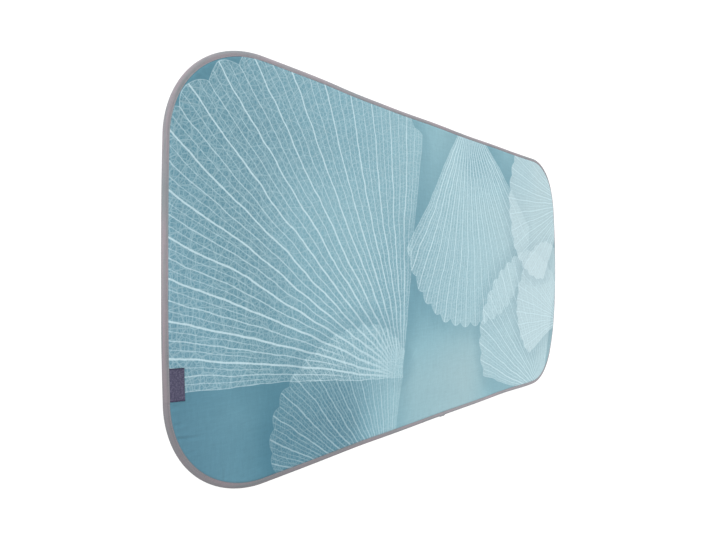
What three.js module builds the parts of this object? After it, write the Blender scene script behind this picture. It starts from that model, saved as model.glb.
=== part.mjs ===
// Ironing pad: four cloth and padding plies with one folded tape sewn round their edge.
// Millimetres, +Z up, +X along the pad. The origin lies under its centre, on the table.
import * as THREE from 'three';

// Outline
const padLength = 1200;
const padWidth = 650;
const cornerRadius = 150;
const cornerSteps = 16;

// Plies at full height, from the table up
const backingThickness = 0.5;
const feltThickness = 3;
const foamThickness = 2;
const coverThickness = 0.5;
const plyGap = 0.1;

// The soft plies where the tape presses them together
const feltPressed = 1.1;
const foamPressed = 0.8;

// Crown: from the tape's hem the plies swell to full height over this run
const crownStart = 10.4;
const crownRun = 16.5;
const crownShares = [0, 0.25, 0.5, 0.75, 1];
const settledShare = 0.5;

// Edge tape, folded over the plies with its raw edges turned in
const tapeThickness = 0.7;
const tapeOnTop = 8.4;
const tapeUnder = 11;
const noseSteps = 8;
const hemSteps = 4;

// Lap, where the end of the tape goes over its start on the front long side
const lapEnd = 15;
const lapLength = 20;
const lapRise = 1;
const lapStep = 1.5;

// Seam through tape and plies
const threadDiameter = 0.35;
const threadClearance = 0.05;
const threadSides = 6;
const seamInset = 7.1;

// Side label, a woven ribbon folded once, with both ends caught in the seam
const labelWidth = 44;
const labelLength = 18.5;
const ribbonThickness = 0.25;
const ribbonGap = 0.1;
const labelClearance = 0.3;
const labelToCorner = 1.9;
const labelSteps = 6;
const tailBeyondSeam = 3.5;

// Heights that follow from the plies
const tapeSeat = tapeThickness + plyGap;
const pressedStack = backingThickness + feltPressed + foamPressed + coverThickness + 3 * plyGap;
const bindingHeight = 2 * tapeSeat + pressedStack;
const noseRadius = bindingHeight / 2;
const tailThickness = 2 * ribbonThickness;
const tailRise = tailThickness + plyGap;
const grooveSize = threadDiameter + 2 * threadClearance;

// Corner centres, and the label's two edges along the short side
const centreX = padLength / 2 - cornerRadius;
const centreY = padWidth / 2 - cornerRadius;
const labelNear = -(centreY - labelToCorner);
const labelFar = labelNear + labelWidth;

const fabric = (name, color, roughness = 0.95) =>
  new THREE.MeshStandardMaterial({ name, color, roughness, metalness: 0 });
const printedCotton = fabric('printed_cotton', 0x86b0bf);
const foam = fabric('foam', 0xe8e3d4);
const felt = fabric('felt', 0xd9d5cc);
const backingCloth = fabric('backing_cloth', 0xb3aeab);
const tape = fabric('binding_tape', 0x9a9499);
const thread = fabric('sewing_thread', 0xaaa5a9, 0.8);
const wovenLabel = fabric('woven_label', 0x56576b, 0.85);

// A station is a place along the outline: a point on the rectangle of corner centres, the
// outward direction there, and whether the tape's lap or the label's tail lies there.
function station(x, y, angle, { lap = 0, tail = 0 } = {}) {
  return {
    base: new THREE.Vector2(x, y),
    out: new THREE.Vector2(Math.cos(angle), Math.sin(angle)),
    lap,
    tail,
  };
}

function cornerStations(sideX, sideY, quarter) {
  return Array.from({ length: cornerSteps + 1 }, (_, step) => {
    const angle = (quarter + step / cornerSteps) * Math.PI / 2;
    return station(sideX * centreX, sideY * centreY, angle);
  });
}

function tailStations() {
  const ramp = labelToCorner / 2;
  const places = [[labelFar + ramp, 0], [labelFar, 1], [labelNear, 1], [labelNear - ramp, 0]];
  return places.map(([y, tail]) => station(-centreX, y, Math.PI, { tail }));
}

function lapStations() {
  const lapBegin = lapEnd - lapLength;
  const places = [[lapBegin, 0], [lapBegin + lapStep, 1], [lapEnd - lapStep, 1], [lapEnd, 0]];
  return places.map(([x, lap]) => station(x, -centreY, 1.5 * Math.PI, { lap }));
}

const stations = [
  ...cornerStations(1, 1, 0),
  ...cornerStations(-1, 1, 1),
  ...tailStations(),
  ...cornerStations(-1, -1, 2),
  ...lapStations(),
  ...cornerStations(1, -1, 3),
];

// A section point is drawn in from the outline by inset and lies at height. The tape's lap
// moves it by lapOut and lapUp, and the label's tail under the tape lifts it by tailUp.
function placed(at, { inset, height, lapOut = 0, lapUp = 0, tailUp = 0 }) {
  const reach = cornerRadius - inset + lapOut * at.lap;
  return [
    at.base.x + at.out.x * reach,
    at.base.y + at.out.y * reach,
    height + lapUp * at.lap + tailUp * at.tail,
  ];
}

// Sweeps a section round the outline. A closed section makes a ring. An open one runs from
// the inner edge of the top face out and back to that of the bottom face, and both are capped.
function sweep(section, closed) {
  const positions = stations.flatMap((at) => section.flatMap((point) => placed(at, point)));
  const indices = [];
  const columns = section.length;
  const vertex = (row, column) => (row % stations.length) * columns + (column % columns);
  for (let row = 0; row < stations.length; row += 1) {
    for (let column = 0; column < (closed ? columns : columns - 1); column += 1) {
      const corner = vertex(row, column);
      const along = vertex(row + 1, column);
      const next = vertex(row, column + 1);
      const across = vertex(row + 1, column + 1);
      indices.push(corner, next, along, along, next, across);
    }
  }
  if (!closed) {
    const rim = stations.map((at) => new THREE.Vector2(...placed(at, section[0])));
    THREE.ShapeUtils.triangulateShape(rim, []).forEach(([a, b, c]) => {
      indices.push(vertex(a, 0), vertex(b, 0), vertex(c, 0));
      indices.push(vertex(c, columns - 1), vertex(b, columns - 1), vertex(a, columns - 1));
    });
  }
  const geometry = new THREE.BufferGeometry();
  geometry.setAttribute('position', new THREE.Float32BufferAttribute(positions, 3));
  geometry.setIndex(indices);
  geometry.computeVertexNormals();
  return geometry;
}

// Bottom and top of every ply at one share of the crown's run
const eased = (share) => (1 - Math.cos(Math.PI * Math.min(share, 1))) / 2;

function plyHeights(share) {
  const thicknesses = {
    backing: backingThickness,
    felt: THREE.MathUtils.lerp(feltPressed, feltThickness, eased(share)),
    foam: THREE.MathUtils.lerp(foamPressed, foamThickness, eased(share)),
    cover: coverThickness,
  };
  const heights = {};
  let bottom = tapeSeat * (1 - eased(share / settledShare));
  Object.entries(thicknesses).forEach(([name, thickness]) => {
    heights[name] = { bottom, top: bottom + thickness };
    bottom += thickness + plyGap;
  });
  return heights;
}

// Half section of one ply: its top face from the flat middle out to the cut edge inside
// the tape's fold, then back along the underside
function plySection(name) {
  const cutEdge = { inset: noseRadius, ...plyHeights(0)[name] };
  const rings = crownShares.map((share) => (
    { inset: crownStart + share * crownRun, ...plyHeights(share)[name] }
  ));
  const inward = [cutEdge, ...rings];
  const top = inward.map((ring) => ({ inset: ring.inset, height: ring.top }));
  const underside = inward.map((ring) => ({ inset: ring.inset, height: ring.bottom }));
  return [...top.reverse(), ...underside];
}

// Points on a round stretch of the tape. Angle 0 is straight up and a quarter turn points
// out of the pad.
function arc({ inset, height, radius, from, to, steps, lap = 0, tail = 0 }) {
  return Array.from({ length: steps + 1 }, (_, step) => {
    const angle = THREE.MathUtils.lerp(from, to, step / steps);
    const lapShare = THREE.MathUtils.clamp(2 - 2 * angle / Math.PI, 0, 1);
    const tailShare = THREE.MathUtils.clamp(1 - 2 * angle / Math.PI, 0, 1);
    return {
      inset: inset - radius * Math.sin(angle),
      height: height + radius * Math.cos(angle),
      lapOut: lap * lapShare * Math.sin(angle),
      lapUp: lap * Math.max(0, Math.cos(angle)),
      tailUp: tail * tailShare,
    };
  });
}

// Round end of a flap of tape, from its underside up to its top face
function hem(width, middle, lap, tail) {
  const radius = tapeThickness / 2;
  return Array.from({ length: hemSteps + 1 }, (_, step) => {
    const angle = Math.PI * (1 + step / hemSteps);
    return {
      inset: width - radius - radius * Math.sin(angle),
      height: middle + radius * Math.cos(angle),
      lapUp: lap * step / hemSteps,
      tailUp: tail,
    };
  });
}

// Groove that the stitches pull into a flap, from its face down to the floor and back
function groove(face, floor, side, lift) {
  const near = seamInset + side * grooveSize / 2;
  const far = seamInset - side * grooveSize / 2;
  return [[near, face], [near, floor], [far, floor], [far, face]]
    .map(([inset, height]) => ({ inset, height, ...lift }));
}

function bindingSection() {
  const nose = { inset: noseRadius, height: noseRadius, steps: noseSteps, tail: tailRise };
  const raised = { lapUp: lapRise, tailUp: tailRise };
  return [
    ...hem(tapeOnTop, bindingHeight - tapeThickness / 2, lapRise, tailRise),
    ...groove(bindingHeight, bindingHeight - grooveSize, 1, raised),
    ...arc({ ...nose, radius: noseRadius, from: 0, to: Math.PI, lap: lapRise }),
    ...groove(0, grooveSize, -1, {}),
    ...hem(tapeUnder, tapeThickness / 2, 0, 0),
    ...arc({ ...nose, radius: noseRadius - tapeThickness, from: Math.PI, to: 0 }),
  ];
}

// Round thread lying in its groove, with its middle at height
function threadSection(height, lift) {
  const radius = threadDiameter / 2;
  return Array.from({ length: threadSides }, (_, side) => {
    const angle = side / threadSides * 2 * Math.PI;
    return {
      inset: seamInset - radius * Math.sin(angle),
      height: height + radius * Math.cos(angle),
      ...lift,
    };
  });
}

// Extrudes a profile of inset and height across the label's width
function acrossLabel(profile) {
  const shape = new THREE.Shape(profile.map(([inset, height]) => new THREE.Vector2(inset, height)));
  const geometry = new THREE.ExtrudeGeometry(shape, { depth: labelWidth, bevelEnabled: false });
  return geometry.rotateX(Math.PI / 2);
}

// The ribbon runs in from the hem along the crown, folds back under itself and returns
// to the hem, where its two ends stay open.
function labelGeometry() {
  const root = tapeOnTop + labelClearance;
  const run = (level, length) => Array.from({ length: labelSteps + 1 }, (_, step) => {
    const inset = root + length * step / labelSteps;
    const share = Math.max(0, inset - crownStart) / crownRun;
    return [inset, plyHeights(share).cover.top + labelClearance + level];
  });
  const slit = labelLength - ribbonThickness;
  return acrossLabel([
    ...run(2 * ribbonThickness + ribbonGap, labelLength).reverse(),
    ...run(ribbonThickness + ribbonGap, slit),
    ...run(ribbonThickness, slit).reverse(),
    ...run(0, labelLength),
  ]);
}

// The label's two sewn ends, pressed flat between the cover and the tape
function tailGeometry() {
  const bottom = plyHeights(0).cover.top + plyGap;
  const top = bottom + tailThickness;
  const sewnEnd = seamInset - tailBeyondSeam;
  return acrossLabel([[sewnEnd, bottom], [tapeOnTop, bottom], [tapeOnTop, top], [sewnEnd, top]]);
}

function named(name, geometry, material) {
  const mesh = new THREE.Mesh(geometry, material);
  mesh.name = name;
  return mesh;
}

const threadMiddle = grooveSize - threadClearance - threadDiameter / 2;
const needleSection = threadSection(
  bindingHeight - threadMiddle,
  { lapUp: lapRise, tailUp: tailRise },
);

const label = new THREE.Group();
label.position.set(-padLength / 2, labelFar, 0);
label.add(
  named('side_label', labelGeometry(), wovenLabel),
  named('label_tail', tailGeometry(), wovenLabel),
);

const pad = new THREE.Group();
pad.add(
  named('backing_cloth', sweep(plySection('backing'), false), backingCloth),
  named('felt_padding', sweep(plySection('felt'), false), felt),
  named('foam_layer', sweep(plySection('foam'), false), foam),
  named('printed_cover', sweep(plySection('cover'), false), printedCotton),
  named('edge_binding', sweep(bindingSection(), true), tape),
  named('needle_thread', sweep(needleSection, true), thread),
  named('bobbin_thread', sweep(threadSection(threadMiddle, {}), true), thread),
  label,
);

export default pad;
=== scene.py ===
import math
from functools import partialmethod

import bpy
import numpy as np
from mathutils import Matrix, Vector
from mathutils.geometry import delaunay_2d_cdt


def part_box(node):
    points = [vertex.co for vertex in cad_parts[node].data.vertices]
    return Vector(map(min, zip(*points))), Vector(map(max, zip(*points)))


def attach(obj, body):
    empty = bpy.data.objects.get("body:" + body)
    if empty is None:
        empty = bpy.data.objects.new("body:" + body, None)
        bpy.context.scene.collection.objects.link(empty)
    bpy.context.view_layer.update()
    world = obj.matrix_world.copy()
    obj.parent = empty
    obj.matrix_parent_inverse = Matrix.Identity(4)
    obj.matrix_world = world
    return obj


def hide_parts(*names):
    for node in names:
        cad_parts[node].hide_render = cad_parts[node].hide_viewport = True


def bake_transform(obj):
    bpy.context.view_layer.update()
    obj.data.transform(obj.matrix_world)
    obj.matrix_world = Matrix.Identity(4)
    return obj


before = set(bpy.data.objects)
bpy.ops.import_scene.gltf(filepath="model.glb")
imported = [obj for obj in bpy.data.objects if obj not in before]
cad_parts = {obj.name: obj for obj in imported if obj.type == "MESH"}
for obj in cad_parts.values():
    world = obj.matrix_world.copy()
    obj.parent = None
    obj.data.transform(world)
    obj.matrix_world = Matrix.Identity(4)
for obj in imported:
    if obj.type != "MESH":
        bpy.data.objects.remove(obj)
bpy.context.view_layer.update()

MM = 0.001

# Outline
_, tape_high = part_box("edge_binding")
HALF_LENGTH = tape_high.x
HALF_WIDTH = tape_high.y
CORNER = 150 * MM
CENTRE_X = HALF_LENGTH - CORNER
CENTRE_Y = HALF_WIDTH - CORNER

# Plies
PLY_GAP = 0.1 * MM
BACKING = 0.5 * MM
FELT_PRESSED = 1.1 * MM
FOAM = 2 * MM
FOAM_PRESSED = 0.8 * MM
COVER = 0.5 * MM
PAD_HEIGHT = 6.3 * MM
CROWN_START = 8.5 * MM
CROWN_STEEP = 1.3 * MM
CROWN_REACH = 75 * MM
SETTLE_START = 11.4 * MM
SETTLE_RUN = 7 * MM
PLY_SPACING = 7 * MM

# Rings of each ply from its edge inward, as distances in from the outline
RINGS = MM * np.array([
    3.2, 5.5, 7, 8.2, 8.7, 9.1, 9.6, 10.2, 11, 12, 13.5, 15.5, 18, 20.5, 23, 26,
    29, 32.5, 36, 40, 45, 51, 58, 71, 85,
])

# Gentle unevenness of the padding: wavelengths, how each is turned and shifted against the
# one before, and height for each metre of wavelength
RIPPLES = (0.31, 0.23, 0.17, 0.12, 0.083)
RIPPLE_TURN = 2.4
RIPPLE_SHIFT = 1.9
RIPPLE = 1.1 * MM

# Edge tape
TAPE = 0.7 * MM
TAPE_ON_TOP = 8.4 * MM
TAPE_UNDER = 11 * MM
TAPE_SEAT = TAPE + PLY_GAP
PRESSED_TOP = TAPE_SEAT + BACKING + FELT_PRESSED + FOAM_PRESSED + COVER + 3 * PLY_GAP
TAPE_HEIGHT = PRESSED_TOP + TAPE_SEAT
NOSE_HEIGHT = 2.3 * MM
BEAD_WIDTH = 4.4 * MM
NOSE_UNDER = 3.5 * MM
HEM = 0.45 * MM
PUCKER = 0.16 * MM
PUCKER_COUNTS = (43, 118, 171, 262, 395)
PUCKER_SEED = 3

# End away from the label: where it begins and its run as shares of half the length, how much
# of the tape is rolled under there, and how much fuller the plies are beside it
FAR_END_SHARE = 0.86
FAR_RUN_SHARE = 0.12
ROLLED_SHARE = 0.45
FULLER_END = 1.3 * MM
FULLER_RISE = 8 * MM
FULLER_WIDTH = 14 * MM
FULLER_FADE = 40 * MM

# Cover gathered by the seam, as simulated: rows across the band, half waves kept, how much
# roomier the cloth is than the flat, the unevenness that it starts with, and the share of the
# folds that the padding under it lets stand
GATHER_STEP = 7 * MM
GATHER_ROWS = 12
GATHER_WAVES = 5
GATHER_ROOM = 0.01
GATHER_START = 0.15 * MM
GATHER_SEED = 4
GATHER_SHARE = 0.15
GATHER_FRAMES = 20

# Small creases that start at the seam: distance along the outline in metres, how far each
# leans along it for each metre inward, length and depth in millimetres
CREASES = (
    (2.124, 0.70, 50, 2.10),
    (2.103, 0.35, 24, 1.10),
    (2.078, 0.00, 24, 0.80),
    (2.152, 0.50, 22, 0.60),
    (2.236, -0.45, 34, 0.75),
    (1.512, 0.50, 36, 0.70),
    (1.604, -0.20, 26, 0.55),
    (1.672, -0.50, 38, 0.75),
    (0.392, 0.40, 32, 0.65),
    (0.478, -0.10, 40, 0.80),
    (0.557, -0.55, 30, 0.60),
    (3.251, 0.45, 38, 0.75),
    (3.337, 0.10, 28, 0.60),
    (3.401, -0.40, 34, 0.60),
    (0.964, 0.30, 28, 0.50),
    (1.238, -0.20, 24, 0.45),
    (2.655, -0.25, 28, 0.55),
    (3.046, 0.35, 32, 0.60),
)
CREASE_WIDTH = 4.2 * MM
CREASE_START = 3 * MM
CREASE_SHOULDER = 1.4
CREASE_STEP = 1.9 * MM
CREASE_ROOM = 10 * MM

# Seam: its place and stitches, and the tape's points on both sides of it and up to the bead
SEAM = 7.1 * MM
SEAM_POINTS = (7.9, 7.6, 7.3, 7.1, 6.9, 6.6, 6.2)
CREST_POINTS = (5.7, 5.1)
STITCH = 3.5 * MM
STITCH_SHARE = 0.84
THREAD_RADIUS = 0.2 * MM
SEAM_DIP = 0.42 * MM
DIP_REACH = 1.5 * MM
SEAM_DEPTH = 0.1 * MM
SEAM_REACH = 0.35 * MM
HOLE_DEPTH = 0.08 * MM

# Lap of the tape on the front long side
LAP_END = 15 * MM
LAP_LENGTH = 20 * MM
LAP_UP = 0.9 * MM
LAP_OUT = 1.5 * MM
LAP_STEP = 1.2 * MM
LAP_SWELL = 6 * MM
LAP_FOLD = 0.35

# Side label
label_low, label_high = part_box("side_label")
LABEL_NEAR = label_low.y
LABEL_FAR = label_high.y
LABEL_MIDDLE = (LABEL_NEAR + LABEL_FAR) / 2
LABEL_WIDTH = LABEL_FAR - LABEL_NEAR
LABEL_LENGTH = 18.5 * MM
LABEL_ASKEW = 0.06
LABEL_SEWN = 4 * MM
LABEL_LEAVES = 8 * MM
LABEL_FREE = 8.6 * MM
LABEL_LIFT = 0.4 * MM
LABEL_OPEN = 0.2 * MM
LABEL_CURL = 0.4 * MM
LABEL_WAVE = 0.12 * MM
RIBBON = 0.25 * MM
RIBBON_GAP = 0.02 * MM
TAIL_RISE = 2 * RIBBON + PLY_GAP
TAIL_RUN = 2 * MM

# Floor and light
FLOOR_DROP = 0.05 * MM
FLOOR_COLOUR = (0.78, 0.78, 0.78, 1)
FLOOR_LIFT = 0.36
WORLD_LIGHT = 0.38
SUN_LIGHT = 2.6
SUN_WIDTH = 35
SUN_FROM = (-0.40, 0.46, 0.80)

# Camera: picture width and focal length in pixels, degrees that it is turned, and where the
# middle of the label's side, at the height SURFACE, lies to the right of it, above and behind
PICTURE_WIDTH = 716
FOCAL_LENGTH = 441.8
SLANT = 46.68
LABEL_SIDE = (-0.25338, 0.00057, -0.56933)
SURFACE = 0.7 * TAPE_HEIGHT


def eased(share):
    return (1 - np.cos(np.pi * np.clip(share, 0, 1))) / 2


def puckers_round(along):
    """Heights of the tape's puckers: whole numbers of waves round the edge."""
    turn = 2 * np.pi * along / PERIMETER
    phases = np.random.default_rng(PUCKER_SEED).uniform(0, 2 * np.pi, len(PUCKER_COUNTS))
    total = sum(np.sin(count * turn + phase) for count, phase in zip(PUCKER_COUNTS, phases))
    return PUCKER * total / len(PUCKER_COUNTS)


def outline_knots():
    """Where the outline's straight and round stretches meet: distance along it, corner
    centre and outward angle, anticlockwise from the lower end of the right side."""
    quarter = CORNER * math.pi / 2
    lengths = [2 * CENTRE_Y, quarter, 2 * CENTRE_X, quarter] * 2
    corners = [(1, -1), (1, 1), (1, 1), (-1, 1), (-1, 1), (-1, -1), (-1, -1), (1, -1), (1, -1)]
    along = np.concatenate([[0], np.cumsum(lengths)])
    places = np.array(corners) * (CENTRE_X, CENTRE_Y)
    return along, places, np.arange(9) // 2 * np.pi / 2


KNOTS = outline_knots()
PERIMETER = KNOTS[0][-1]


def spots(along):
    """Corner-centre places and outward directions at distances along the outline."""
    knots, places, turns = KNOTS
    along = np.mod(along, PERIMETER)
    angle = np.interp(along, knots, turns)
    base = np.stack([np.interp(along, knots, places[:, k]) for k in (0, 1)], axis=-1)
    return base, np.stack([np.cos(angle), np.sin(angle)], axis=-1)


def drawn_in(along, inset):
    """Points on the plan, inset metres in from the outline."""
    base, out = spots(along)
    return base + out * (CORNER - inset)[..., None]


# Slow waves that sewing and storage leave in the pad: middle, reach and shift of each
SETTLED = (
    ((0.610, 0.000), (0.12, 0.11), (2.5, 0, 0.5)),
    ((0.600, 0.215), (0.11, 0.085), (-12.0, -2.0, 1.0)),
    ((0.600, -0.225), (0.11, 0.085), (-17.0, 9.0, 1.0)),
    ((0.440, -0.340), (0.13, 0.12), (0, -6.5, 1.5)),
    ((0.330, 0.340), (0.12, 0.12), (0, -3.0, 1.0)),
    ((0.100, 0.340), (0.14, 0.14), (0, -5.0, 0.5)),
    ((-0.140, 0.340), (0.12, 0.14), (0, -5.5, 1.0)),
    ((-0.260, 0.340), (0.06, 0.12), (0, -2.0, 0)),
    ((-0.600, 0.220), (0.10, 0.09), (2.0, 0, 0.5)),
    ((-0.600, -0.210), (0.10, 0.08), (2.5, 0, 0)),
    ((-0.250, -0.340), (0.08, 0.12), (0, 1.5, 0)),
    ((0.170, -0.340), (0.11, 0.12), (0, -1.5, 0.5)),
)


def settled(points):
    """The same points after the pad's slow waves."""
    moved = points.copy()
    for middle, reach, shift in SETTLED:
        away = (points[..., :2] - middle) / reach
        share = np.exp(-(away ** 2).sum(axis=-1))
        moved += share[..., None] * np.array(shift) * MM
    return moved


def surface_ripple(xy):
    """Gentle unevenness of the padding's top."""
    total = np.zeros(xy.shape[:-1])
    for k, wavelength in enumerate(RIPPLES):
        heading = RIPPLE_TURN * k + 0.7
        across = xy[..., 0] * math.cos(heading) + xy[..., 1] * math.sin(heading)
        total += wavelength * np.sin(2 * np.pi * across / wavelength + RIPPLE_SHIFT * k)
    return total * RIPPLE


def gathered_band(count):
    """Flat strip of the cover just inside the tape, for the cloth simulation alone, with its
    two long edges in the vertex group sewn."""
    places = np.arange(count) / count * PERIMETER
    insets = CROWN_START + np.arange(GATHER_ROWS) * GATHER_STEP
    along, inset = np.meshgrid(places, insets, indexing="ij")
    level = np.random.default_rng(GATHER_SEED).normal(0, GATHER_START, along.shape)
    level[:, [0, -2, -1]] = 0
    vertices = np.concatenate([drawn_in(along, inset), level[..., None]], axis=-1).reshape(-1, 3)
    band = smooth_mesh("gathered_band", vertices, ring_faces(count, GATHER_ROWS))
    numbers = np.arange(len(vertices)).reshape(count, GATHER_ROWS)
    sewn = band.vertex_groups.new(name="sewn")
    sewn.add(numbers[:, [0, -2, -1]].ravel().tolist(), 1.0, "REPLACE")
    return band


def gathered_cover():
    """Simulates the slightly roomy cover inside its seam, and returns its small folds: for
    each place along the outline, how much of each half wave across the band."""
    count = round(PERIMETER / GATHER_STEP)
    band = gathered_band(count)
    cloth = band.modifiers.new("cloth", "CLOTH").settings
    cloth.quality = 6
    cloth.vertex_group_mass = "sewn"
    cloth.bending_stiffness = 2.0
    cloth.shrink_min = -GATHER_ROOM
    cloth.effector_weights.gravity = 0
    cloth.use_pressure = True
    cloth.uniform_pressure_force = 0.5
    for number in range(1, GATHER_FRAMES + 1):
        bpy.context.scene.frame_set(number)
    simulated = band.evaluated_get(bpy.context.evaluated_depsgraph_get()).to_mesh()
    heights = np.array([vertex.co.z for vertex in simulated.vertices]).reshape(count, GATHER_ROWS)
    bpy.context.scene.frame_set(1)
    bpy.data.meshes.remove(band.data)
    heights = (heights + (np.roll(heights, 1, axis=0) + np.roll(heights, -1, axis=0)) / 2) / 2
    return GATHER_SHARE * heights @ np.linalg.pinv(half_waves(np.linspace(0, 1, GATHER_ROWS))).T


def half_waves(depth):
    """Half sine waves across the gathered band, at depths of 0 at the seam to 1."""
    return np.sin(np.pi * depth[..., None] * np.arange(1, GATHER_WAVES + 1))


def edge_puckers(along, inset, plan):
    """Height of the cover's small folds. They leave the cover flat under the label."""
    place = np.mod(along, PERIMETER) / PERIMETER * len(GATHERS)
    first = np.floor(place + 1e-6).astype(int)
    share = (place - first)[..., None]
    folds = GATHERS[first % len(GATHERS)] * (1 - share) + GATHERS[(first + 1) % len(GATHERS)] * share
    depth = np.clip((inset - CROWN_START) / (GATHER_STEP * (GATHER_ROWS - 1)), 0, 1)
    beside = np.abs(plan[..., 1] - LABEL_MIDDLE) / LABEL_WIDTH
    beyond = (plan[..., 0] + HALF_LENGTH) / (2 * LABEL_LENGTH)
    return (folds * half_waves(depth)).sum(axis=-1) * eased((np.maximum(beside, beyond) - 0.6) / 0.5)


def creased(along, inset):
    """Depth of the small creases: a narrow valley each, with a low shoulder on either side."""
    total = np.zeros(along.shape)
    beyond = inset - CROWN_START
    for place, lean, length, depth in CREASES:
        off = np.mod(along - place - lean * beyond + PERIMETER / 2, PERIMETER) - PERIMETER / 2
        off = (off / CREASE_WIDTH) ** 2
        share = eased(beyond / CREASE_START) * eased(1 - beyond / (length * MM))
        total += depth * MM * share * (1 - CREASE_SHOULDER * off) * np.exp(-off)
    return total


def stations(spacing):
    """Distances along the outline for a ply's rows, closer where a crease lies."""
    count = round(PERIMETER / spacing)
    along = np.arange(count) / count * PERIMETER
    for place, lean, length, _ in CREASES:
        low = place + min(0, lean * length * MM) - CREASE_ROOM
        high = place + max(0, lean * length * MM) + CREASE_ROOM
        close = np.linspace(low, high, math.ceil((high - low) / CREASE_STEP))
        apart = (along < low - CREASE_STEP) | (along > high + CREASE_STEP)
        along = np.concatenate([along[apart], close])
    return np.sort(along)


def far_end(base, out):
    """1 along the short side away from the label, and 0 well before its corners."""
    x = base[..., 0] + CORNER * out[..., 0]
    return eased((x - FAR_END_SHARE * HALF_LENGTH) / (FAR_RUN_SHARE * HALF_LENGTH))


def tape_scale(base, out):
    """Width of the tape against its usual one: it is rolled further under at the far end."""
    return 1 - ROLLED_SHARE * far_end(base, out)


def ply_levels(inset, xy, puckers):
    """Bottom and top of every ply at places inset metres in from the outline."""
    beyond = np.maximum(0, inset - CROWN_START)
    crown = (1 - np.exp(-beyond / CROWN_STEEP) + eased(beyond / CROWN_REACH)) / 2
    bottom = TAPE_SEAT * (1 - eased((inset - SETTLE_START) / SETTLE_RUN))
    top = PRESSED_TOP + (PAD_HEIGHT - PRESSED_TOP) * crown + surface_ripple(xy) * crown + puckers
    room = top - bottom - BACKING - COVER - 3 * PLY_GAP
    foam = np.minimum(FOAM_PRESSED + (FOAM - FOAM_PRESSED) * crown, room / 2)
    thicknesses = {"backing": BACKING, "felt": room - foam, "foam": foam, "cover": COVER}
    levels = {}
    for name, thickness in thicknesses.items():
        levels[name] = (bottom, bottom + thickness)
        bottom = bottom + thickness + PLY_GAP
    return levels


def placed(name, data):
    """An object with this data, linked into the scene."""
    thing = bpy.data.objects.new(name, data)
    bpy.context.collection.objects.link(thing)
    return thing


def smooth_mesh(name, vertices, faces):
    mesh = bpy.data.meshes.new(name)
    mesh.from_pydata(vertices.tolist(), [], [list(face) for face in faces])
    mesh.shade_smooth()
    mesh.update()
    return placed(name, mesh)


def on_pad(thing, material, slot, *nodes):
    """Dresses a piece that belongs to the pad itself."""
    thing.data.materials.append(material)
    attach(thing, "pad")
    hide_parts(*nodes)


def cell_corners(grid):
    """Values at the four corners of each cell of a grid, kept row by row."""
    return np.stack([grid[:-1, :-1], grid[:-1, 1:], grid[1:, 1:], grid[1:, :-1]], axis=-1)


def ring_faces(rows, columns, closed=(1, 0)):
    """Quads between neighbours in a grid of vertices, closed (1) or open (0) each way."""
    numbers = np.arange(rows * columns).reshape(rows, columns)
    numbers = np.pad(numbers, [(0, way) for way in closed], "wrap")
    return cell_corners(numbers).reshape(-1, 4)


def filled(rim, spacing):
    """Extra points and triangles that fill a rim on the plan: (points, triangles), where the
    triangles count the rim's own points first."""
    reach = np.abs(rim).max(axis=0) - 0.6 * spacing
    columns, rows = np.ceil(2 * reach / spacing).astype(int)
    lines = [np.linspace(-far, far, steps) for far, steps in zip(reach, (columns, rows))]
    grid = np.stack(np.meshgrid(*lines), axis=-1).reshape(-1, 2)
    corner = np.abs(grid) - (CENTRE_X, CENTRE_Y)
    depth = CORNER - RINGS[-1] - 0.6 * spacing
    inside = (corner <= 0).any(axis=1) | (np.hypot(*np.maximum(corner, 0).T) < depth)
    points = grid[inside]
    every = np.concatenate([rim, points])
    found = delaunay_2d_cdt([Vector(p) for p in every], [], [list(range(len(rim)))], 1, 1e-7)
    origin = np.array([ids[0] for ids in found[3]])
    triangles = origin[np.array(found[2])]
    sides = every[triangles[:, 1:]] - every[triangles[:, :1]]
    clockwise = sides[:, 0, 0] * sides[:, 1, 1] < sides[:, 0, 1] * sides[:, 1, 0]
    triangles[clockwise] = triangles[clockwise][:, ::-1]
    return points, triangles


def ply(name, layer, spacing):
    """One ply: top and underside in rings near the tape and a fine net in the middle."""
    along, inset = np.meshgrid(stations(spacing), RINGS, indexing="ij")
    count = len(along)
    plan = drawn_in(along, inset)
    rim_spots = spots(along)
    wide = inset / tape_scale(*rim_spots)
    roll = FULLER_END * far_end(*rim_spots) * eased((wide - CROWN_START) / FULLER_RISE)
    roll = roll * (1 - eased((inset - FULLER_WIDTH) / FULLER_FADE))
    puckers = edge_puckers(along, wide, plan) - creased(along, wide)
    bottom, top = ply_levels(wide, plan, puckers + roll)[layer]
    rim = plan[:, -1]
    middle, triangles = filled(rim, 1.15 * spacing)
    middle_bottom, middle_top = ply_levels(np.full(len(middle), RINGS[-1]), middle, 0)[layer]
    columns = len(RINGS)
    net = count * columns + np.arange(len(middle))
    numbers = np.concatenate([np.arange(count) * columns + columns - 1, net])[triangles]
    plan = np.concatenate([plan.reshape(-1, 2), middle])
    levels = [np.concatenate([a.ravel(), b]) for a, b in ((top, middle_top), (bottom, middle_bottom))]
    vertices = np.concatenate([np.column_stack([plan, level]) for level in levels])
    bands = ring_faces(count, columns)
    half = len(plan)
    rim_rows = np.arange(count) * columns
    next_rows = np.roll(rim_rows, -1)
    edge = np.stack([rim_rows, next_rows, next_rows + half, rim_rows + half], axis=-1)
    parts = (bands[:, ::-1], numbers, bands + half, numbers[:, ::-1] + half, edge[:, ::-1])
    faces = [face for part in parts for face in part.tolist()]
    return smooth_mesh(name, settled(vertices), faces), half


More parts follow.
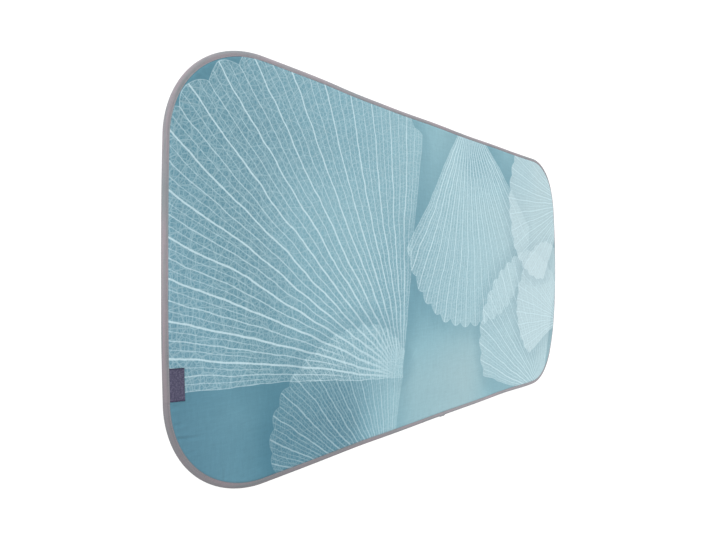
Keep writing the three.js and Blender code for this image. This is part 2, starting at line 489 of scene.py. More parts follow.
def lap_share(base, out):
    """How much of the lap a place along the outline carries: it swells up on the left and
    ends in a folded step on the right."""
    x = np.where(out[..., 1] < -0.999, base[..., 0], 1)
    rise = eased((x - LAP_END + LAP_LENGTH) / LAP_SWELL)
    fall = 1 - eased((x - LAP_END + LAP_STEP) / LAP_STEP)
    fold = LAP_FOLD * np.exp(-((x - LAP_END + 2 * LAP_STEP) / LAP_STEP) ** 2)
    return rise * fall * (1 + fold)


def tail_share(base, out):
    """How much of the bulge over the label's sewn ends a place along the outline carries."""
    y = np.where(out[..., 0] < -0.999, base[..., 1], 1)
    return eased((y - LABEL_NEAR + TAIL_RUN) / TAIL_RUN) * eased((LABEL_FAR + TAIL_RUN - y) / TAIL_RUN)


def stitch_dimple(along):
    """1 at every needle hole and 0 halfway between two holes."""
    return (1 + np.cos(2 * np.pi * along / PERIMETER * STITCHES)) / 2


STITCHES = round(PERIMETER / STITCH)


def tape_section():
    """Closed section of the folded tape, from its hem on top round the nose to the hem
    underneath and back inside. Columns: inset, height, and the point's shares of the lap
    outward and upward, of the label's tail, of the puckers and of the needle holes."""
    rows = []

    def hem(width, foot, thickness, tail):
        radius = thickness / 2
        for step in range(5):
            angle = math.pi * (1 + step / 4)
            inset = width - radius * (1 + math.sin(angle))
            height = foot + radius * (1 + math.cos(angle))
            rows.append((inset, height, 0, tail * step / 4, tail, 0.3 * tail, 0))

    def stitched(insets, face, side):
        for inset in np.array(insets) * MM:
            share = 1 if side > 0 else 0
            seam = math.exp(-((inset - SEAM) / SEAM_REACH) ** 2)
            dip = share * math.exp(-((inset - SEAM) / DIP_REACH) ** 2)
            height = face - side * SEAM_DEPTH * seam - SEAM_DIP * dip
            rows.append((inset, height, 0, share, share, 0.4 * share, side * seam))

    def bead(steps, thickness, lap):
        """Over the bead from its crest to the nose's tip."""
        for angle in np.radians(steps):
            out, up = math.cos(angle), math.sin(angle)
            inset = thickness + (BEAD_WIDTH - thickness) * (1 - out)
            height = NOSE_HEIGHT + (TAPE_HEIGHT - thickness - NOSE_HEIGHT) * up
            rows.append((inset, height, lap * out, lap * up, up, 1 - out, 0))

    def under(steps, thickness, lap):
        """Under the nose from its tip to the flat of the underside."""
        for angle in np.radians(steps):
            out = math.cos(angle)
            inset = thickness + (NOSE_UNDER - thickness) * (1 - out)
            height = NOSE_HEIGHT - (NOSE_HEIGHT - thickness) * math.sin(angle)
            rows.append((inset, height, lap * out ** 2, 0, 0, 0, 0))

    hem(TAPE_ON_TOP, TAPE_HEIGHT - TAPE, HEM, 1)
    stitched(SEAM_POINTS + CREST_POINTS, TAPE_HEIGHT, 1)
    bead(np.linspace(90, 0, 12), 0, 1)
    under(np.linspace(20, 90, 5), 0, 1)
    stitched(SEAM_POINTS[::-1], 0, -1)
    hem(TAPE_UNDER, 0, TAPE, 0)
    under(np.linspace(90, 40, 2), TAPE, 0)
    bead(np.linspace(0, 90, 5), TAPE, 0)
    return np.array(rows)


def edge_binding():
    """The tape, swept round the outline with its puckers, needle holes, lap and bulge."""
    along = np.arange(2 * STITCHES) * (PERIMETER / STITCHES / 2)
    lap_at = KNOTS[0][6] + CENTRE_X + LAP_END
    along = np.sort(np.concatenate([along, lap_at + np.linspace(-3, 1, 9) * LAP_STEP]))
    base, out = spots(along)
    section = tape_section()
    inset, height, lap_out, lap_up, tail, pucker, hole = section.T
    lap = lap_share(base, out)[:, None]
    bulge = tail_share(base, out)[:, None]
    unevenness = puckers_round(along)[:, None]
    holes = HOLE_DEPTH * stitch_dimple(along)[:, None]
    inset = inset * tape_scale(base, out)[:, None]
    reach = CORNER - inset + LAP_OUT * lap * lap_out + 0.5 * unevenness * pucker
    level = height + LAP_UP * lap * lap_up + TAIL_RISE * bulge * tail
    level = level + unevenness * pucker - holes * hole
    plan = base[:, None] + out[:, None] * reach[..., None]
    vertices = np.concatenate([plan, level[..., None]], axis=-1).reshape(-1, 3)
    faces = ring_faces(len(along), len(section), (1, 1))
    thing = smooth_mesh("binding", settled(vertices), faces)
    spread = spread_out(thing, np.append(along, along[0] + PERIMETER), girth(section[:, :2]))
    rolled_up(thing, *spread)
    return thing


def girth(section):
    """Distances round a closed section, from its first point back to it."""
    steps = np.hypot(*np.diff(section, axis=0, append=section[:1]).T)
    return np.concatenate([[0], np.cumsum(steps)])


def mapped(thing, name, u, v):
    """Gives a mesh a map with these values at the corners of its faces, and 0 at the rest."""
    pairs = np.zeros((len(thing.data.loops), 2))
    pairs[:u.size] = np.stack([u.ravel(), v.ravel()], axis=-1)
    thing.data.uv_layers.new(name=name).data.foreach_set("uv", pairs.ravel())


def spread_out(thing, lengthwise, crosswise):
    """Gives a swept strip the places on its own cloth, in metres along and across."""
    u, v = (cell_corners(grid) for grid in np.meshgrid(lengthwise, crosswise, indexing="ij"))
    mapped(thing, "cloth", u, v)
    return u, v


def rolled_up(thing, u, v, rows=12):
    """Lays a long strip on the bake picture in rows, like a folded measuring tape."""
    wound = rows * (u - u.min()) / PERIMETER
    row = np.minimum(rows - 1, np.floor(wound[..., :1]))
    mapped(thing, "OFBake", 0.01 + 0.97 * (wound - row), (row + 0.06 + 0.88 * v / v.max()) / rows)


def stitches(name, level, side):
    """One row of lockstitches lying in its groove, on the face that side points to."""
    rings = np.array([-0.5, -0.36, 0, 0.36, 0.5])
    fullness = np.array([0.45, 0.95, 1, 0.95, 0.45])
    dip = np.array([1, 0.35, 0, 0.35, 1])
    length = STITCH_SHARE * PERIMETER / STITCHES
    middle = (np.arange(STITCHES) + 0.5) * PERIMETER / STITCHES
    along = (middle[:, None] + rings * length)[..., None]
    turn = np.arange(6) / 6 * 2 * np.pi
    radius = THREAD_RADIUS * fullness[:, None]
    sideways = radius * np.cos(turn)
    upward = radius * np.sin(turn) - HOLE_DEPTH * dip[:, None] * side
    base, out = spots(along + np.zeros(6))
    lap = lap_share(base, out)
    bulge = tail_share(base, out)
    plan = base + out * (CORNER - SEAM * tape_scale(base, out) + sideways)[..., None]
    height = level + upward + max(side, 0) * (LAP_UP * lap + TAIL_RISE * bulge)
    vertices = np.concatenate([plan, height[..., None]], axis=-1).reshape(-1, 3)
    one = ring_faces(5, 6, (0, 1)).tolist() + [[0, 1, 2, 3, 4, 5], [29, 28, 27, 26, 25, 24]]
    faces = [[corner + 30 * k for corner in face] for k in range(STITCHES) for face in one]
    return smooth_mesh(name, settled(vertices), faces)


def label_line():
    """Path of the folded ribbon seen from its side, as insets and heights: from one sewn end
    under the tape, out to the free fold and back to the other end."""
    tip = TAPE_ON_TOP + LABEL_LENGTH
    under_tape = np.linspace(LABEL_SEWN, LABEL_LEAVES, 5)
    inset = np.concatenate([under_tape, np.linspace(LABEL_FREE, tip, 24)])
    share = np.clip((inset - TAPE_ON_TOP) / LABEL_LENGTH, 0, 1)
    cover = ply_levels(inset, np.zeros((len(inset), 2)), 0)["cover"][1]
    half_gap = RIBBON / 2 + RIBBON_GAP + LABEL_OPEN * eased(share * 1.3 - 0.2)
    rest = cover + PLY_GAP + LABEL_OPEN * eased(share * 6)
    middle = rest + RIBBON / 2 + half_gap + LABEL_LIFT * share ** 2
    fold = np.linspace(-0.5, 0.5, 7)[1:-1] * np.pi
    fold_inset = tip + half_gap[-1] * np.cos(fold)
    fold_height = middle[-1] - half_gap[-1] * np.sin(fold)
    line_inset = np.concatenate([inset, fold_inset, inset[::-1]])
    line_height = np.concatenate([middle + half_gap, fold_height, (middle - half_gap)[::-1]])
    return np.stack([line_inset, line_height], axis=-1)


def label_loop():
    """The folded ribbon, a little askew, with its corners lifted by wear."""
    line = label_line()
    heading = np.gradient(line, axis=0)
    heading /= np.linalg.norm(heading, axis=1)[:, None]
    normal = np.stack([-heading[:, 1], heading[:, 0]], axis=-1)
    section = np.concatenate([line + normal * RIBBON / 2, (line - normal * RIBBON / 2)[::-1]])
    y = np.linspace(LABEL_NEAR, LABEL_FAR, 23)[:, None]
    across = (y - y.mean()) / LABEL_WIDTH * 2
    free = np.clip((section[:, 0] - TAPE_ON_TOP) / LABEL_LENGTH, 0, 1)
    curl = LABEL_CURL * np.abs(across) ** 3 * free ** 2
    wave = LABEL_WAVE * np.sin(7 * across + 1) * free
    x = section[:, 0] - HALF_LENGTH + 0 * y
    askew = y - LABEL_ASKEW * (section[:, 0] - TAPE_ON_TOP)
    vertices = np.stack([x, askew, section[:, 1] + curl + wave], axis=-1).reshape(-1, 3)
    columns = len(section)
    last = (len(y) - 1) * columns
    side = [[k, k + 1, columns - 2 - k, columns - 1 - k] for k in range(len(line) - 1)]
    faces = ring_faces(len(y), columns, (0, 1)).tolist() + side
    faces += [[last + corner for corner in face[::-1]] for face in side]
    thing = smooth_mesh("side_label_loop", settled(vertices), faces)
    spread_out(thing, y[:, 0], girth(section))
    return thing


class Wiring:
    """Short words for placing and joining the nodes of one node tree."""

    def __init__(self, tree):
        self.tree = tree

    def node(self, kind, inputs=None, **settings):
        made = self.tree.nodes.new("ShaderNode" + kind)
        for name, value in settings.items():
            setattr(made, name, value)
        for socket, value in (inputs or {}).items():
            self.feed(made.inputs[socket], value)
        return made

    def feed(self, socket, value):
        if isinstance(value, bpy.types.NodeSocket):
            self.tree.links.new(value, socket)
        else:
            socket.default_value = value

    def math(self, operation, *values):
        made = self.node("Math", operation=operation)
        for socket, value in zip(made.inputs, values):
            self.feed(socket, value)
        return made.outputs[0]

    def chain(self, operation, first, *others):
        for other in others:
            first = self.math(operation, first, other)
        return first

    plus = partialmethod(chain, "ADD")
    minus = partialmethod(chain, "SUBTRACT")
    times = partialmethod(chain, "MULTIPLY")
    over = partialmethod(chain, "DIVIDE")
    most = partialmethod(chain, "MAXIMUM")
    times_plus = partialmethod(math, "MULTIPLY_ADD")

    def ramp(self, value, low, high, to_low=0.0, to_high=1.0):
        """Smooth step from to_low to to_high as value goes from low to high."""
        given = {0: value, 1: low, 2: high, 3: to_low, 4: to_high}
        return self.node("MapRange", given, interpolation_type="SMOOTHSTEP").outputs[0]

    def mix(self, share, first, second, blend="MIX"):
        given = {0: share, 6: first, 7: second}
        return self.node("Mix", given, data_type="RGBA", blend_type=blend).outputs[2]

    def noise(self, vector, scale, detail=2.0, roughness=0.5, output="Fac"):
        given = {"Vector": vector, "Scale": scale, "Detail": detail, "Roughness": roughness}
        return self.node("TexNoise", given).outputs[output]

    def parts(self, vector):
        return self.node("SeparateXYZ", {0: vector}).outputs

    def on_cloth(self):
        """Places on a strip's own cloth, in metres along and across."""
        return self.node("UVMap", uv_map="cloth").outputs[0]

    def streaks(self, vector, scale, *grain):
        """Noise drawn out along a strip: scale is a pair, along it and across."""
        drawn = self.node("Mapping", {"Vector": vector, "Scale": (*scale, 1.0)})
        return self.ramp(self.noise(drawn.outputs[0], 1.0, *grain), 0.3, 0.7)

    def stroke(self, away, width, strength=1.0):
        """A printed line of the given width, seen from its middle line outward."""
        half = self.times(width, 0.5)
        line = self.ramp(away, self.times(half, 0.5), self.plus(half, STROKE_BLEED), 1.0, 0.0)
        return self.times(line, strength)

    def nearest(self, value):
        """Distance from a value to the nearest whole number."""
        over = self.math("FRACT", self.plus(value, 0.5))
        return self.math("ABSOLUTE", self.minus(over, 0.5))

    def group(self, tree, **inputs):
        made = self.node("Group", node_tree=tree)
        for name, value in inputs.items():
            self.feed(made.inputs[name.replace("_", " ")], value)
        return made.outputs

    def seen_directly(self):
        """1 on what the camera sees, also in a mirror or through glass."""
        path = self.node("LightPath").outputs
        return self.most(path["Is Camera Ray"], path["Is Glossy Ray"], path["Is Transmission Ray"])


def node_group(name, outputs, **inputs):
    """A shader group with a Vector input and numbers: (wiring, its inputs, its outputs)."""
    tree = bpy.data.node_groups.new(name, "ShaderNodeTree")

    def socket(title, side):
        kind = "NodeSocketVector" if title == "Vector" else "NodeSocketFloat"
        return tree.interface.new_socket(title.replace("_", " "), in_out=side, socket_type=kind)

    socket("Vector", "INPUT")
    for title, value in inputs.items():
        socket(title, "INPUT").default_value = value
    for title in outputs:
        socket(title, "OUTPUT")
    w = Wiring(tree)
    return w, tree.nodes.new("NodeGroupInput").outputs, tree.nodes.new("NodeGroupOutput").inputs


def srgb(red, green, blue):
    """Linear colour of a screen colour given in 0 to 255."""
    linear = [
        c / 12.92 if c <= 0.04045 else ((c + 0.055) / 1.055) ** 2.4
        for c in (red / 255, green / 255, blue / 255)
    ]
    return (*linear, 1.0)


# Weave: how finely threads wander, and noise of single threads and of slubs, as scale, detail
# and roughness. Both are drawn out along their thread to a share of the scale
WANDER = 140.0
YARNS = {"Tone": (900.0, 1.0, 0.5), "Slubs": (230.0, 2.0, 0.6)}
DRAWN_OUT = 0.12


def make_weave():
    """Plain weave of threads that vary a little in width and colour."""
    w, given, out = node_group("plain_weave", ["Height", "Tone", "Slubs"], Thread=0.6 * MM, Slub=0.3)
    wander = w.times(w.noise(given["Vector"], WANDER, 1.0), given["Slub"])
    place = w.parts(given["Vector"])
    threads = [w.plus(w.over(place[k], given["Thread"]), wander) for k in (0, 1)]
    swells = [w.math("SINE", w.times(thread, math.pi)) for thread in threads]
    w.feed(out["Height"], w.times_plus(w.times(*swells), 0.5, 0.5))
    ways = []
    for k in (0, 1):
        way = w.node("CombineXYZ", {k: w.times(place[k], DRAWN_OUT), 1 - k: place[1 - k]})
        ways.append(way.outputs[0])
    for name, grain in YARNS.items():
        w.feed(out[name], w.times(w.plus(*(w.noise(way, *grain) for way in ways)), 0.5))
    return w.tree


def make_drift():
    """Slow unevenness of dye: about 1, a little over or under."""
    w, given, out = node_group("dye_drift", ["Factor"], Size=0.12, Amount=0.06)
    cloud = w.noise(given["Vector"], w.over(1.0, given["Size"]), 4.0, 0.55)
    centred = w.minus(cloud, 0.5)
    w.feed(out["Factor"], w.times_plus(centred, given["Amount"], 1.0))
    return w.tree


def make_net():
    """Irregular net of thin lines, like lace."""
    w, given, out = node_group("line_net", ["Line"], Cell=12 * MM, Line=1.2 * MM)
    cells = {"Vector": given["Vector"], "Scale": w.over(1.0, given["Cell"])}
    edges = w.node("TexVoronoi", cells, feature="DISTANCE_TO_EDGE", voronoi_dimensions="2D")
    away = w.times(edges.outputs["Distance"], given["Cell"])
    w.feed(out["Line"], w.stroke(away, given["Line"]))
    return w.tree


def make_sway():
    """Moves places a little this way and that, so that drawn lines waver."""
    w, given, out = node_group("hand_drawn", ["Vector"], Size=0.2, Amount=0.03)
    cloud = w.noise(given["Vector"], w.over(1.0, given["Size"]), 3.0, 0.5, "Color")
    centred = w.node("VectorMath", {0: cloud, 1: (0.5, 0.5, 0.5)}, operation="SUBTRACT")
    shift = {0: centred.outputs[0], "Scale": given["Amount"]}
    scaled = w.node("VectorMath", shift, operation="SCALE")
    moved = w.node("VectorMath", {0: given["Vector"], 1: scaled.outputs[0]}, operation="ADD")
    w.feed(out["Vector"], moved.outputs[0])
    return w.tree


# Print: how far a line bleeds, how far a fan's rim droops at its sides, dips between its
# scallops and bleeds, how far out its shade reaches, and how wide a rung is
STROKE_BLEED = 0.6 * MM
RIM_DROOP = 0.22
RIM_SCALLOP = 0.022
RIM_BLEED = 1.5 * MM
SHADE_REACH = 55 * MM
RUNG_LINE = 1.1 * MM

# Each fork of a fan's ribs: ribs to one rib, thickness, strength, and depth where it starts
RIB_FORKS = ((1, 1.0, 1.0, 0.02), (2, 0.55, 0.72, 0.26), (4, 0.36, 0.5, 0.55))

# Each kind of rung between the ribs: lanes to one rib, millimetres from rung to rung, strength
# and the depth where it starts
RUNGS = ((2, 19.0, 0.9, 0.12), (4, 10.5, 0.45, 0.4), (8, 6.5, 0.3, 0.55))


def fan_ribs(w, line, rib, pitch, depth):
    """Ribs of a fan, that taper and fork as they go out."""
    drawn = []
    for forks, thickness, strength, starts in RIB_FORKS:
        off = w.nearest(w.times(rib, float(forks)))
        away = w.times(off, w.over(pitch, float(forks)))
        taper = w.times_plus(depth, -0.6 * thickness, 1.25 * thickness)
        grows = w.ramp(depth, starts, starts + 0.12, 0.0, strength)
        drawn.append(w.stroke(away, w.times(line, taper), grows))
    return drawn


def fan_rungs(w, rib, reach, depth):
    """Short rungs between the ribs, each lane with steps of its own."""
    drawn = []
    for lanes, gap, strength, starts in RUNGS:
        lane = w.times(rib, float(lanes))
        jump = w.node("TexWhiteNoise", {"W": w.math("FLOOR", lane)}, noise_dimensions="1D")
        lean = w.times(w.math("FRACT", lane), 0.45)
        rung = w.plus(w.over(reach, gap * MM), w.plus(jump.outputs["Value"], lean))
        away = w.times(w.nearest(rung), gap * MM)
        grows = w.ramp(depth, starts, starts + 0.1, 0.0, strength)
        drawn.append(w.stroke(away, RUNG_LINE, grows))
    return drawn


def make_fan():
    """One shell fan of the print, seen through: ribs that fork away from a hinge, rungs
    between them, and a scalloped rim."""
    w, given, out = node_group(
        "shell_fan", ["Inside", "Ribs", "Rungs", "Depth", "Shade"],
        Hinge_X=0.0, Hinge_Y=0.0, Turn=0.0, Radius=0.4, Spread=1.0, Ribs=20.0, Line=3 * MM,
    )
    place = w.parts(given["Vector"])
    across = w.minus(place[0], given["Hinge X"])
    upward = w.minus(place[1], given["Hinge Y"])
    reach = w.math("SQRT", w.plus(w.times(across, across), w.times(upward, upward)))
    angle = w.minus(w.math("ARCTAN2", upward, across), given["Turn"])
    share = w.over(w.math("WRAP", angle, math.pi, -math.pi), given["Spread"])
    side = w.math("ABSOLUTE", share)
    rib = w.times(share, w.times(given["Ribs"], 0.5))
    scallop = w.math("ABSOLUTE", w.math("COSINE", w.times(rib, math.pi)))
    droop = w.times_plus(w.math("POWER", side, 2.6), -RIM_DROOP, 1.0)
    edge = w.times(droop, w.times_plus(scallop, RIM_SCALLOP, 1 - RIM_SCALLOP))
    depth = w.over(reach, w.times(given["Radius"], edge))
    arc = w.times(given["Spread"], reach)
    to_rim = w.times(w.minus(1.0, depth), given["Radius"])
    to_side = w.times(w.minus(1.0, side), arc)
    to_edge = w.math("MINIMUM", to_rim, to_side)
    inside = w.ramp(to_edge, 0.0, RIM_BLEED)
    pitch = w.over(w.times(arc, 2.0), given["Ribs"])
    border = w.stroke(to_edge, w.times(given["Line"], 0.9), 0.75)
    lines = w.most(border, *fan_ribs(w, given["Line"], rib, pitch, depth))
    rungs = w.most(*fan_rungs(w, rib, reach, depth))
    soft_at_hinge = w.ramp(depth, 0.04, 0.4, 0.6, 1.0)
    outside = w.minus(1.0, inside)
    w.feed(out["Shade"], w.times(w.ramp(to_edge, -SHADE_REACH, -2 * MM), outside))
    w.feed(out["Inside"], inside)
    w.feed(out["Ribs"], w.times(lines, soft_at_hinge, inside))
    w.feed(out["Rungs"], w.times(rungs, inside))
    w.feed(out["Depth"], depth)
    return w.tree


WEAVE = make_weave()
DRIFT = make_drift()
NET = make_net()
SWAY = make_sway()
FAN = make_fan()


def empty_material(name):
    material = bpy.data.materials.new(name)
    material.use_nodes = True
    material.node_tree.nodes.clear()
    return material, Wiring(material.node_tree)


def cloth_material(name, roughness, sheen):
    """An empty cloth: (material, wiring, shader node, object coordinates)."""
    material, w = empty_material(name)
    shader = w.node("BsdfPrincipled", {"Roughness": roughness, "Specular IOR Level": 0.25})
    w.feed(shader.inputs["Sheen Weight"], sheen)
    w.feed(shader.inputs["Sheen Roughness"], 0.5)
    w.node("OutputMaterial", {"Surface": shader.outputs[0]})
    return material, w, shader, w.node("TexCoord").outputs["Object"]


def toned(w, shader, colour, tone):
    """Lays a colour on a cloth's shader, made lighter or darker by a tone."""
    grey = w.node("CombineColor", {0: tone, 1: tone, 2: tone}).outputs[0]
    w.feed(shader.inputs["Base Color"], w.mix(1.0, colour, grey, "MULTIPLY"))


def bumped(w, shader, height, distance, strength=1.0):
    bump = w.node("Bump", {"Height": height, "Distance": distance, "Strength": strength})
    w.feed(shader.inputs["Normal"], bump.outputs["Normal"])


# Dye of the printed cover, from its lower left corner to its palest part; the first stop, at the very
# corner, is the print darkened further by painted shade
DYE_AND_CORNER_SHADE = (
    (0.00, (84, 129, 148)),
    (0.08, (101, 147, 164)),
    (0.15, (92, 139, 155)),
    (0.26, (97, 143, 159)),
    (0.42, (115, 161, 176)),
    (0.67, (142, 183, 194)),
    (1.00, (161, 192, 199)),
)

# Patches of the dye: metres along the pad where each starts, is full, fades and ends, then two
# places across the pad and the patch's strength at each
PALER_FRONT = ((-0.34, -0.08, 0.08, 0.24), (-0.25, -0.07, 0.4, 0.0))
PALER_MIDDLE = ((-0.5, -0.38, -0.28, -0.14), (0.08, 0.22, 0.15, 0.0))
DARKER_BACK = ((0.04, 0.14, 0.4, 0.5), (0.14, 0.26, 0.0, -0.3))
DARKER_FRONT = ((-0.52, -0.42, -0.29, -0.2), (-0.27, -0.15, 0.62, 0.0))
DEEP_TEAL = srgb(60, 112, 132)

# Printing inks: a fan's veil, its fine net and its ribs
VEIL_INK = srgb(201, 218, 223)
NET_INK = srgb(196, 222, 228)
RIB_INK = srgb(206, 231, 238)

# Nets of thin lines in the fans: millimetres from line to line, line width and strength
NETS = ((24, 1.4, 1.0), (7.4, 1.0, 0.85), (3.4, 0.5, 0.4))

# Shell fans of the print: hinge, turn in degrees, radius, half spread in degrees, ribs,
# line width, how strongly the fan is tinted and how strongly its lines are printed
FANS = (
    ((-0.130, -0.215), 128, 0.640, 45, 16, 0.0034, 0.00, 0.86),
    ((-0.170, -0.430), 120, 0.350, 40, 14, 0.0026, 0.00, 0.44),
    ((0.110, 0.380), -82, 0.520, 42, 18, 0.0034, 0.05, 0.95),
    ((0.500, -0.370), 118, 0.440, 44, 16, 0.0032, 0.13, 0.95),
    ((0.640, -0.160), 150, 0.300, 50, 14, 0.0028, 0.30, 0.90),
    ((0.660, 0.210), 190, 0.360, 48, 14, 0.0028, 0.34, 0.90),
)


def patch(w, along, across, places):
    """A soft patch of the dye, from its row of places."""
    (start, full, fades, ends), strength = places
    length = w.times(w.ramp(along, start, full), w.ramp(along, fades, ends, 1.0, 0.0))
    return w.times(length, w.ramp(across, *strength))


def dyed_and_shaded_ground(w, place):
    """Teal that pales from the lower left to the right, with paler and darker patches and painted
    shade at the lower left corner.
    """
    drift = w.group(DRIFT, Vector=place, Size=0.2, Amount=0.10)["Factor"]
    along, across, _ = w.parts(place)
    pale = w.times_plus(along, 0.83, w.times_plus(across, 0.34, 0.57))
    paler = w.plus(pale, patch(w, along, across, PALER_FRONT))
    middle = patch(w, along, w.math("ABSOLUTE", across), PALER_MIDDLE)
    paler = w.plus(paler, w.plus(middle, patch(w, along, across, DARKER_BACK)))
    dye = w.node("ValToRGB", {0: w.plus(paler, w.minus(drift, 1.0))})
    stops = dye.color_ramp.elements
    # The first stop carries the painted shade at the lower left corner
    stops[0].color = srgb(*DYE_AND_CORNER_SHADE[0][1])
    stops[1].color = srgb(*DYE_AND_CORNER_SHADE[-1][1])
    for position, colour in DYE_AND_CORNER_SHADE[1:-1]:
        stops.new(position).color = srgb(*colour)
    return w.mix(patch(w, along, across, DARKER_FRONT), dye.outputs[0], DEEP_TEAL)


def fine_net(w, drawn):
    """The nets of thin lines laid over each other, the finer the fainter."""
    nets = []
    for cell, line, strength in NETS:
        net = w.group(NET, Vector=drawn, Cell=cell * MM, Line=line * MM)["Line"]
        nets.append(w.times(net, strength))
    return w.most(*nets)


def printed_fan(w, drawn, thin, colour, row):
    """The colour after one more fan is printed over it."""
    hinge, turn, radius, spread, ribs, line, tint, ink = row
    fan = w.group(
        FAN, Vector=drawn, Hinge_X=hinge[0], Hinge_Y=hinge[1], Turn=math.radians(turn),
        Radius=radius, Spread=math.radians(spread), Ribs=float(ribs), Line=line,
    )
    colour = w.mix(w.times(fan["Shade"], 0.16), colour, DEEP_TEAL)
    glow = w.times_plus(fan["Depth"], 0.4, 0.7)
    colour = w.mix(w.times(fan["Inside"], glow, tint), colour, VEIL_INK)
    net = w.most(w.times(thin, fan["Inside"]), fan["Rungs"])
    colour = w.mix(w.times(net, 0.42 * ink), colour, NET_INK)
    return w.mix(w.times(fan["Ribs"], 0.82 * ink), colour, RIB_INK)


def printed_cotton():
    """Cover cloth: dyed ground, printed with see-through shell fans."""
    material, w, shader, place = cloth_material("printed_cotton", 0.86, 0.12)
    weave = w.group(WEAVE, Vector=place, Thread=0.6 * MM, Slub=0.5)
    drawn = w.group(SWAY, Vector=place, Size=0.24, Amount=0.03)["Vector"]
    drawn = w.group(SWAY, Vector=drawn, Size=0.03, Amount=0.0045)["Vector"]
    colour = dyed_and_shaded_ground(w, place)
    thin = fine_net(w, drawn)
    for row in FANS:
        colour = printed_fan(w, drawn, thin, colour, row)
    tone = w.times_plus(weave["Tone"], 0.24, 0.88)
    tone = w.times(tone, w.times_plus(weave["Slubs"], 0.3, 0.85))
    toned(w, shader, colour, tone)
    bumped(w, shader, weave["Height"], 0.12 * MM, 0.6)
    return material


def plain_cloth(name, colour, thread, roughness=0.9):
    """A one-colour woven cloth with uneven dye and visible threads."""
    material, w, shader, place = cloth_material(name, roughness, 0.1)
    weave = w.group(WEAVE, Vector=place, Thread=thread, Slub=0.4)
    drift = w.group(DRIFT, Vector=place, Size=0.05, Amount=0.12)["Factor"]
    tone = w.times_plus(weave["Tone"], 0.3, 0.85)
    # Painted shade: the cloth is darker in the hollows of its weave
    dip = w.times_plus(weave["Height"], 0.16, 0.92)
    toned(w, shader, srgb(*colour), w.times(tone, drift, dip))
    bumped(w, shader, weave["Height"], 0.25 * thread, 0.8)
    return material


# Painted shade on the edge tape round the lower left corner, and painted light at the far end
# and along a stretch of the back side: two places and how bright, or how much brighter, the
# tape is at each
TAPE_PAINTED_SHADE = (-0.26, 0.06, 0.69, 1.0)
TAPE_FAR_END_PAINTED_LIGHT = (0.5, 0.6, 0.0, 0.06)
TAPE_PAINTED_HIGHLIGHT = (0.12, 0.24, 0.07, 0.0)
TAPE_COOL = srgb(140, 146, 150)
TAPE_WARM = srgb(161, 150, 157)
TAPE_PALE = srgb(167, 163, 167)


def tape_painted_light_and_shade(w, along, across):
    """How bright the tape is, as painted light and shade: darkest round the lower left corner."""
    corner = w.times_plus(along, 0.5, w.plus(across, 0.3))
    # Painted shade round the lower left corner, and painted light at the far end
    shade_and_light = w.plus(w.ramp(corner, *TAPE_PAINTED_SHADE), w.ramp(along, *TAPE_FAR_END_PAINTED_LIGHT))
    # Painted highlight along a stretch of the back side
    stretch = w.ramp(w.math("ABSOLUTE", w.plus(along, 0.3)), *TAPE_PAINTED_HIGHLIGHT)
    return w.plus(shade_and_light, w.times(stretch, w.ramp(across, 0.28, 0.32)))


def bias_tape():
    """Edge tape: warm grey, with streaks along it that lean to pink or to blue, and painted light and
    shade.
    """
    material, w, shader, spot = cloth_material("bias_tape", 0.88, 0.1)
    place = w.on_cloth()
    along, across, _ = w.parts(spot)
    weave = w.group(WEAVE, Vector=place, Thread=0.5 * MM, Slub=0.4)
    colour = w.mix(w.streaks(place, (12.0, 230.0), 2.0), TAPE_COOL, TAPE_WARM)
    colour = w.mix(w.times(w.streaks(place, (22.0, 300.0), 3.0, 0.6), 0.3), colour, TAPE_PALE)
    threads = w.times_plus(weave["Tone"], 0.3, 0.85)
    # Painted shade: the tape is darker in the hollows of its weave
    dip = w.times_plus(weave["Height"], 0.16, 0.92)
    # The tone carries the tape's painted shade and painted light
    toned(w, shader, colour, w.times(tape_painted_light_and_shade(w, along, across), threads, dip))
    bumped(w, shader, weave["Height"], 0.13 * MM, 0.8)
    return material


def woven_ribbon():
    """Label ribbon: navy with a fine speckle and darker selvedges along its two long edges."""
    material, w, shader, _ = cloth_material("woven_ribbon", 0.75, 0.1)
    place = w.on_cloth()
    weave = w.group(WEAVE, Vector=place, Thread=0.5 * MM, Slub=0.2)
    from_middle = w.math("ABSOLUTE", w.minus(w.parts(place)[0], LABEL_MIDDLE))
    selvedge = w.ramp(from_middle, LABEL_WIDTH / 2 - 2.6 * MM, LABEL_WIDTH / 2 - 1.2 * MM)
    speckle = w.ramp(w.noise(place, 420.0, 3.0, 0.75), 0.4, 0.68)
    colour = w.mix(w.times(speckle, 0.6), srgb(66, 64, 86), srgb(112, 108, 132))
    colour = w.mix(w.times(selvedge, 0.75), colour, srgb(50, 46, 72))
    # Painted shade: the ribbon is darker in the hollows of its weave
    toned(w, shader, colour, w.times_plus(weave["Height"], 0.2, 0.9))
    bumped(w, shader, weave["Height"], 0.12 * MM, 0.8)
    return material


def padding(name, colour, grain, depth):
    """Foam or felt: fine random grain."""
    material, w, shader, place = cloth_material(name, 0.95, 0.0)
    cells = w.noise(place, 1 / grain, 4.0, 0.65)
    drift = w.group(DRIFT, Vector=place, Size=0.04, Amount=0.2)["Factor"]
    toned(w, shader, srgb(*colour), w.times(w.times_plus(cells, 0.3, 0.85), drift))
    bumped(w, shader, cells, depth)
    return material


def pale_floor():
    """Pale floor that shows white where it is lit, and keeps the pad's shadow."""
    floor = bpy.data.meshes.new("floor")
    floor.from_pydata([(-4, -4, 0), (4, -4, 0), (4, 4, 0), (-4, 4, 0)], [], [(0, 1, 2, 3)])
    thing = placed("floor", floor)
    thing.location.z = -FLOOR_DROP
    material, w = empty_material("floor_white")
    paint = w.node("BsdfDiffuse", {"Color": FLOOR_COLOUR})
    lift = w.node("Emission", {"Strength": w.times(w.seen_directly(), FLOOR_LIFT)})
    both = w.node("AddShader", {0: paint.outputs[0], 1: lift.outputs[0]})
    w.node("OutputMaterial", {"Surface": both.outputs[0]})
    floor.materials.append(material)


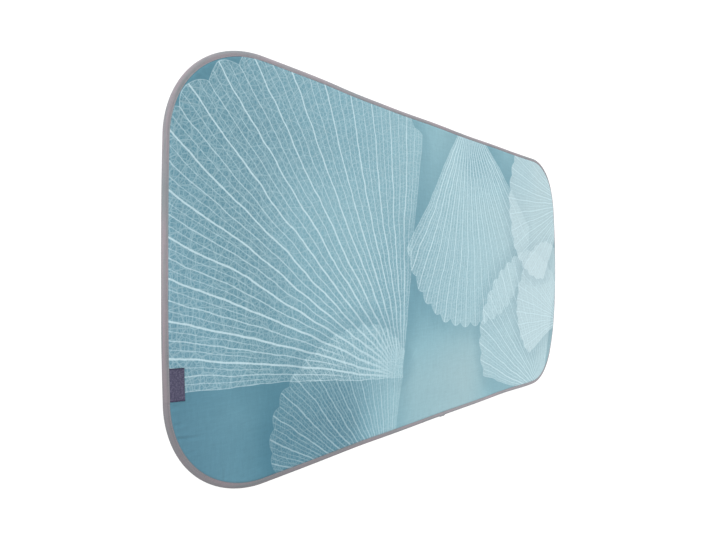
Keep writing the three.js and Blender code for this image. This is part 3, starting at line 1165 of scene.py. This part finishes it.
def studio_light():
    """White surroundings, and a wide soft lamp high up at the upper left of the picture."""
    world = bpy.data.worlds.new("studio")
    bpy.context.scene.world = world
    world.use_nodes = True
    w = Wiring(world.node_tree)
    sky = world.node_tree.nodes["Background"]
    w.feed(sky.inputs["Color"], (1, 1, 1, 1))
    light = w.times_plus(w.seen_directly(), 1 - WORLD_LIGHT, WORLD_LIGHT)
    w.feed(sky.inputs["Strength"], light)

    lamp = bpy.data.lights.new("softbox", "SUN")
    lamp.energy = SUN_LIGHT
    lamp.angle = math.radians(SUN_WIDTH)
    placed("softbox", lamp).rotation_euler = Vector(SUN_FROM).to_track_quat("Z", "Y").to_euler()


def camera():
    """The photograph's camera: level with the pad's middle line, near its label end and
    turned so that the pad's +Y is up in the picture."""
    slant = math.radians(SLANT)
    right = Vector((math.sin(slant), 0, math.cos(slant)))
    back = Vector((-math.cos(slant), 0, math.sin(slant)))
    axes = Matrix((right, Vector((0, 1, 0)), back)).transposed()
    place = Vector((-HALF_LENGTH, 0, SURFACE)) - axes @ Vector(LABEL_SIDE)
    lens = bpy.data.cameras.new("camera")
    lens.sensor_width = 36
    lens.sensor_fit = "HORIZONTAL"
    lens.lens = FOCAL_LENGTH / PICTURE_WIDTH * lens.sensor_width
    lens.clip_start = 0.01
    thing = placed("camera", lens)
    thing.matrix_world = Matrix.Translation(place) @ axes.to_4x4()
    bpy.context.scene.camera = thing


def bake_layout(thing, half):
    """Lays the cover's top face over the whole bake picture and the rest along its foot."""
    foot = 0.05
    spread = 0.49
    margin = 10 * MM
    mesh = thing.data
    faces = [list(face.vertices) for face in mesh.polygons]
    below = np.repeat([max(face) >= half for face in faces], [len(face) for face in faces])
    points = np.array([mesh.vertices[corner].co for face in faces for corner in face])
    across = 0.5 + spread * points[:, 0] / (HALF_LENGTH + margin)
    up = 0.5 + spread * points[:, 1] / (HALF_WIDTH + margin)
    mapped(thing, "OFBake", across, np.where(below, foot * 0.9 * up, foot + (1 - foot) * up))


camera()
pale_floor()
studio_light()
GATHERS = gathered_cover()

cover, cover_half = ply("cover_cloth", "cover", PLY_SPACING)
bake_layout(cover, cover_half)
on_pad(cover, printed_cotton(), "printed_cotton", "printed_cover")
foam, _ = ply("foam_sheet", "foam", 2 * PLY_SPACING)
open_foam = padding("open_foam", (236, 230, 212), grain=1.2 * MM, depth=0.3 * MM)
on_pad(foam, open_foam, "foam", "foam_layer")
felt, _ = ply("felt_pad", "felt", 2 * PLY_SPACING)
needled_felt = padding("needled_felt", (214, 209, 200), grain=2.5 * MM, depth=0.4 * MM)
on_pad(felt, needled_felt, "felt", "felt_padding")
backing, _ = ply("backing_sheet", "backing", PLY_SPACING)
backing_cotton = plain_cloth("backing_cotton", (186, 182, 178), thread=0.9 * MM)
on_pad(backing, backing_cotton, "backing_cloth", "backing_cloth")

binding = edge_binding()
on_pad(binding, bias_tape(), "binding_tape", "edge_binding")
sunk = SEAM_DIP + SEAM_DEPTH - THREAD_RADIUS / 2
spun = plain_cloth("spun_thread", (154, 153, 158), thread=0.3 * MM, roughness=0.7)
needle = stitches("needle_stitches", TAPE_HEIGHT - sunk, 1)
on_pad(needle, spun, "sewing_thread", "needle_thread")
bobbin = stitches("bobbin_stitches", 1.1 * THREAD_RADIUS, -1)
on_pad(bobbin, spun, "sewing_thread", "bobbin_thread")

ribbon = label_loop()
ribbon.data.materials.append(woven_ribbon())
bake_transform(ribbon)
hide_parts("side_label", "label_tail")

bpy.context.scene.view_settings.view_transform = "Standard"
